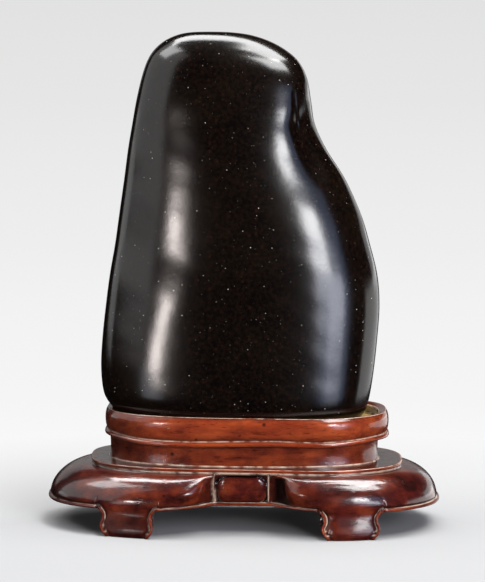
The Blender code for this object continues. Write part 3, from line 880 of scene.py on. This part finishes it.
    # The clear coat is the wax polish: it fills the pores to a deep gloss, and
    # grime and dried wax stay dull.
    rough = add_node(tree, "ShaderNodeMath", {0: streaks, 1: 0.2, 2: 0.2},
                     operation="MULTIPLY_ADD").outputs[0]
    tree.links.new(rough, shader.inputs["Roughness"])
    shader.inputs["IOR"].default_value = 1.5
    shader.inputs["Specular IOR Level"].default_value = 0.15
    dull = add_node(tree, "ShaderNodeMath", {0: shares["dull"], 1: shares["wax_and_painted_highlight"]},
                    operation="MAXIMUM").outputs[0]
    coat = add_node(tree, "ShaderNodeMath", {0: dull, 1: -0.95, 2: 1.0},
                    operation="MULTIPLY_ADD", use_clamp=True).outputs[0]
    tree.links.new(coat, shader.inputs["Coat Weight"])
    shader.inputs["Coat Roughness"].default_value = 0.11
    shader.inputs["Coat IOR"].default_value = 1.6
    relief = add_node(tree, "ShaderNodeMath", {0: pore, 1: 0.4, 2: streaks},
                      operation="MULTIPLY_ADD").outputs[0]
    bump = add_node(tree, "ShaderNodeBump",
                    {"Height": relief, "Strength": 0.22, "Distance": 0.0003}).outputs["Normal"]
    tree.links.new(bump, shader.inputs["Normal"])
    tree.links.new(bump, shader.inputs["Coat Normal"])
    return material


# ---------------------------------------------------------------------------
# Studio
# ---------------------------------------------------------------------------

CAMERA_PLACE = Vector((-0.0004, -1.494, 0.320))
CAMERA_AIM = Vector((-0.0004, 0.006, 0.09205))
LENS = 234.62
LAMP_AIM = Vector((0.0, 0.0, 0.11))
LEFT_CARD_SHIFT = Vector((0.372, 0.046, 1.504))
REAR_LAMP_SHIFT = Vector((-0.20, 0.45, 0.0))
RIGHT_LAMP_SHIFT = Vector((0.70, -0.02, 0.0))
REAR_LAMP_TURN = math.radians(-9.0)
RIGHT_LAMP_TURN = math.radians(-20.0)
WHITE = "#ffffff"
LAVENDER = "#f0f3ff"
ROSY = "#fff4ef"
CARD_COLOUR = "#9c9c9c"
CARD_RADIUS = 0.20
SWEEP_RADIUS = 14.0
GLOW_MIDDLE_Y = -0.12
GLOW_RADIUS = 0.145
GLOW_RATE = 6.0


def place_camera():
    """Long lens a little above the stone, looking slightly down."""
    data = bpy.data.cameras.new("camera")
    data.sensor_fit = "AUTO"
    data.sensor_width = 36.0
    data.lens = LENS
    data.clip_start = 0.1
    data.clip_end = 60.0
    camera = bpy.data.objects.new("camera", data)
    camera.location = CAMERA_PLACE
    camera.rotation_euler = (CAMERA_AIM - CAMERA_PLACE).to_track_quat("-Z", "Y").to_euler()
    bpy.context.scene.collection.objects.link(camera)
    bpy.context.scene.camera = camera


def soft_light(name, azimuth, elevation, distance, width, height, radiance, colour=WHITE):
    """Rectangular light seen from the stone at an azimuth from the front, + to the right."""
    turn = math.radians(azimuth)
    lift = math.radians(elevation)
    way = Vector((math.sin(turn) * math.cos(lift), -math.cos(turn) * math.cos(lift),
                  math.sin(lift)))
    data = bpy.data.lights.new(name, "AREA")
    data.shape = "RECTANGLE"
    data.size = width
    data.size_y = height
    data.energy = radiance * width * height * math.pi
    data.color = linear(colour)
    light = bpy.data.objects.new(name, data)
    light.location = LAMP_AIM + way * distance
    light.rotation_euler = (-way).to_track_quat("-Z", "Y").to_euler()
    light.visible_camera = False
    bpy.context.scene.collection.objects.link(light)
    return light


def spanned(near, far, distance):
    """Size that spans two angles at a distance."""
    return 2.0 * distance * math.tan(math.radians(0.5 * abs(far - near)))


def window_light(name, azimuths, elevations, radiance, colour=WHITE, distance=3.0):
    """Soft light that fills a span of azimuths and elevations."""
    middle = 0.5 * (elevations[0] + elevations[1])
    width = spanned(*azimuths, distance) * math.cos(math.radians(middle))
    height = spanned(*elevations, distance)
    azimuth = 0.5 * sum(azimuths)
    return soft_light(name, azimuth, middle, distance, width, height, radiance, colour)


def light_the_set():
    """Soft lamps and pale cards, each placed by what the polished stone mirrors."""
    # Name, azimuths, elevations and radiance. Left of the middle:
    window_light("left_strip_high", (-38.2, -29.6), (7.2, 9.5), 11.0, ROSY)
    window_light("left_strip_low", (-39.6, -33.2), (2.0, 7.2), 28.0, ROSY)
    window_light("left_strip_foot", (-46.0, -34.0), (-10.0, 2.0), 1.6, LAVENDER)
    # Right of the middle, from the shoulder down to the foot:
    window_light("right_strip_high", (19.0, 30.5), (14.0, 20.2), 20.0)
    window_light("right_strip_low", (19.4, 31.0), (10.8, 14.0), 19.0)
    window_light("right_tail_high", (19.5, 41.0), (3.6, 10.8), 6.2, LAVENDER)
    window_light("right_tail_low", (27.0, 41.0), (1.6, 3.6), 9.5, LAVENDER)
    window_light("right_tail_foot", (26.0, 40.0), (-10.0, 1.6), 1.3, LAVENDER)
    window_light("right_haze", (21.0, 47.0), (-8.0, 27.0), 1.05, "#b4ceff", 3.4)
    # Pale cards at the sides and behind:
    card = soft_light("left_card", -83.0, 14.0, 3.0, 4.3, 4.05, 0.95)
    card.location += LEFT_CARD_SHIFT
    tail = window_light("left_card_tail", (-122.0, -96.0), (-1.0, 5.5), 1.1, distance=2.9)
    window_light("right_low_card", (76.0, 150.0), (-16.0, 3.0), 1.6)
    window_light("right_back_card", (112.0, 165.0), (-2.0, 12.0), 1.0, distance=3.3)
    back = window_light("back_card", (160.0, 215.0), (2.0, 24.0), 0.3, distance=3.2)
    # Lamps above, for the crest and the tops of the lobes:
    window_light("left_high", (-104.0, -62.0), (44.0, 66.0), 5.6, distance=2.9)
    window_light("right_high", (20.0, 66.0), (48.5, 66.0), 12.0)
    # The fill lights the wood and the floor, and the polish doesn't mirror it:
    fill = window_light("right_fill", (16.0, 66.0), (6.0, 32.0), 5.2, "#f2f2ff")
    fill.visible_glossy = False
    for light in (card, tail, back):
        light.visible_diffuse = False
    rear = soft_light("overhead_rear", 0.0, 90.0, 2.0, 1.56, 0.62, 13.0)
    rear.location += REAR_LAMP_SHIFT
    rear.rotation_euler = (0.0, 0.0, REAR_LAMP_TURN)
    near = soft_light("overhead_right", 0.0, 90.0, 2.0, 0.86, 1.1, 13.0)
    near.location += RIGHT_LAMP_SHIFT
    near.rotation_euler = (0.0, 0.0, RIGHT_LAMP_TURN)


def pale_surroundings():
    """World: pale behind the set, dim for light and nearly dark in reflections."""
    world = bpy.data.worlds.new("surroundings")
    world.use_nodes = True
    tree = world.node_tree
    seen = tree.nodes["Background"]
    seen.inputs["Color"].default_value = tint("#e7e8e9")
    dim = add_node(tree, "ShaderNodeBackground", {"Color": tint("#f5f8ff"), "Strength": 0.18})
    dark = add_node(tree, "ShaderNodeBackground", {"Color": tint("#fff3e7"), "Strength": 0.01})
    path = add_node(tree, "ShaderNodeLightPath")
    unseen = add_node(tree, "ShaderNodeMixShader", {
        0: path.outputs["Is Glossy Ray"], 1: dim.outputs["Background"],
        2: dark.outputs["Background"]})
    mixed = add_node(tree, "ShaderNodeMixShader", {
        0: path.outputs["Is Camera Ray"], 1: unseen.outputs["Shader"],
        2: seen.outputs["Background"]})
    tree.links.new(mixed.outputs["Shader"], tree.nodes["World Output"].inputs["Surface"])
    bpy.context.scene.world = world


def lay_floor():
    """Pale card under the object and a wide sweep of it out to the horizon, glowing away from the set as
    painted light.
    """
    material, tree, shader = new_material("pale_card_with_painted_glow")
    place = add_node(tree, "ShaderNodeTexCoord").outputs["Object"]
    middle = add_node(tree, "ShaderNodeMapping", {"Vector": place, "Location": (0.0, -GLOW_MIDDLE_Y, 0.0)})
    radius = add_node(tree, "ShaderNodeVectorMath", {"Vector": middle.outputs["Vector"]},
                      operation="LENGTH").outputs["Value"]
    shader.inputs["Base Color"].default_value = tint(CARD_COLOUR)
    shader.inputs["Roughness"].default_value = 0.9
    shader.inputs["Specular IOR Level"].default_value = 0.0
    # Away from the set the card glows instead of being lit: painted light that dims with distance.
    far = add_node(tree, "ShaderNodeMath", {0: radius, 1: 0.25}, operation="MULTIPLY").outputs[0]
    far = add_node(tree, "ShaderNodeValToRGB", {"Fac": far}, (
        (0.05, tint("#fbfbfb")), (0.10, tint("#f5f5f5")), (0.17, tint("#f2f2f2")),
        (0.23, tint("#eeeeee")), (0.45, tint("#e6e6e6")), (0.70, tint("#e2e2e2"))))
    glow = add_node(tree, "ShaderNodeEmission", {"Color": far.outputs["Color"], "Strength": 1.0})
    away = add_node(tree, "ShaderNodeMath", {0: radius, 1: GLOW_RATE, 2: -GLOW_RADIUS * GLOW_RATE},
                    operation="MULTIPLY_ADD", use_clamp=True).outputs[0]
    blend = add_node(tree, "ShaderNodeMixShader", {
        0: away, 1: shader.outputs["BSDF"], 2: glow.outputs["Emission"]})
    tree.links.new(blend.outputs["Shader"], tree.nodes["Material Output"].inputs["Surface"])
    for name, inner, outer in (("card", 0.0, CARD_RADIUS), ("sweep", CARD_RADIUS, SWEEP_RADIUS)):
        mesh = bpy.data.meshes.new(name)
        bm = bmesh.new()
        bmesh.ops.create_circle(bm, cap_ends=inner == 0.0, segments=128, radius=outer)
        if inner > 0.0:
            bmesh.ops.create_circle(bm, segments=128, radius=inner)
            bmesh.ops.bridge_loops(bm, edges=bm.edges)
        bmesh.ops.recalc_face_normals(bm, faces=bm.faces)
        if bm.faces[:][0].normal.z < 0.0:
            bmesh.ops.reverse_faces(bm, faces=bm.faces)
        bm.to_mesh(mesh)
        bm.free()
        mesh.materials.append(material)
        ground = bpy.data.objects.new(name, mesh)
        bpy.context.scene.collection.objects.link(ground)
        ground.visible_glossy = False
        if inner > 0.0:
            ground.visible_shadow = False


def dress(piece, material, node):
    """Give a piece its finish and let it stand for its solid."""
    piece.data.materials.append(material)
    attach(piece, "root")
    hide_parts(node)


place_camera()
light_the_set()
pale_surroundings()
lay_floor()
dress(make_stone(), polished_black_limestone(), "stone")
dress(make_stand(), waxed_hongmu(), "stand")
bpy.context.scene.view_settings.view_transform = "Standard"
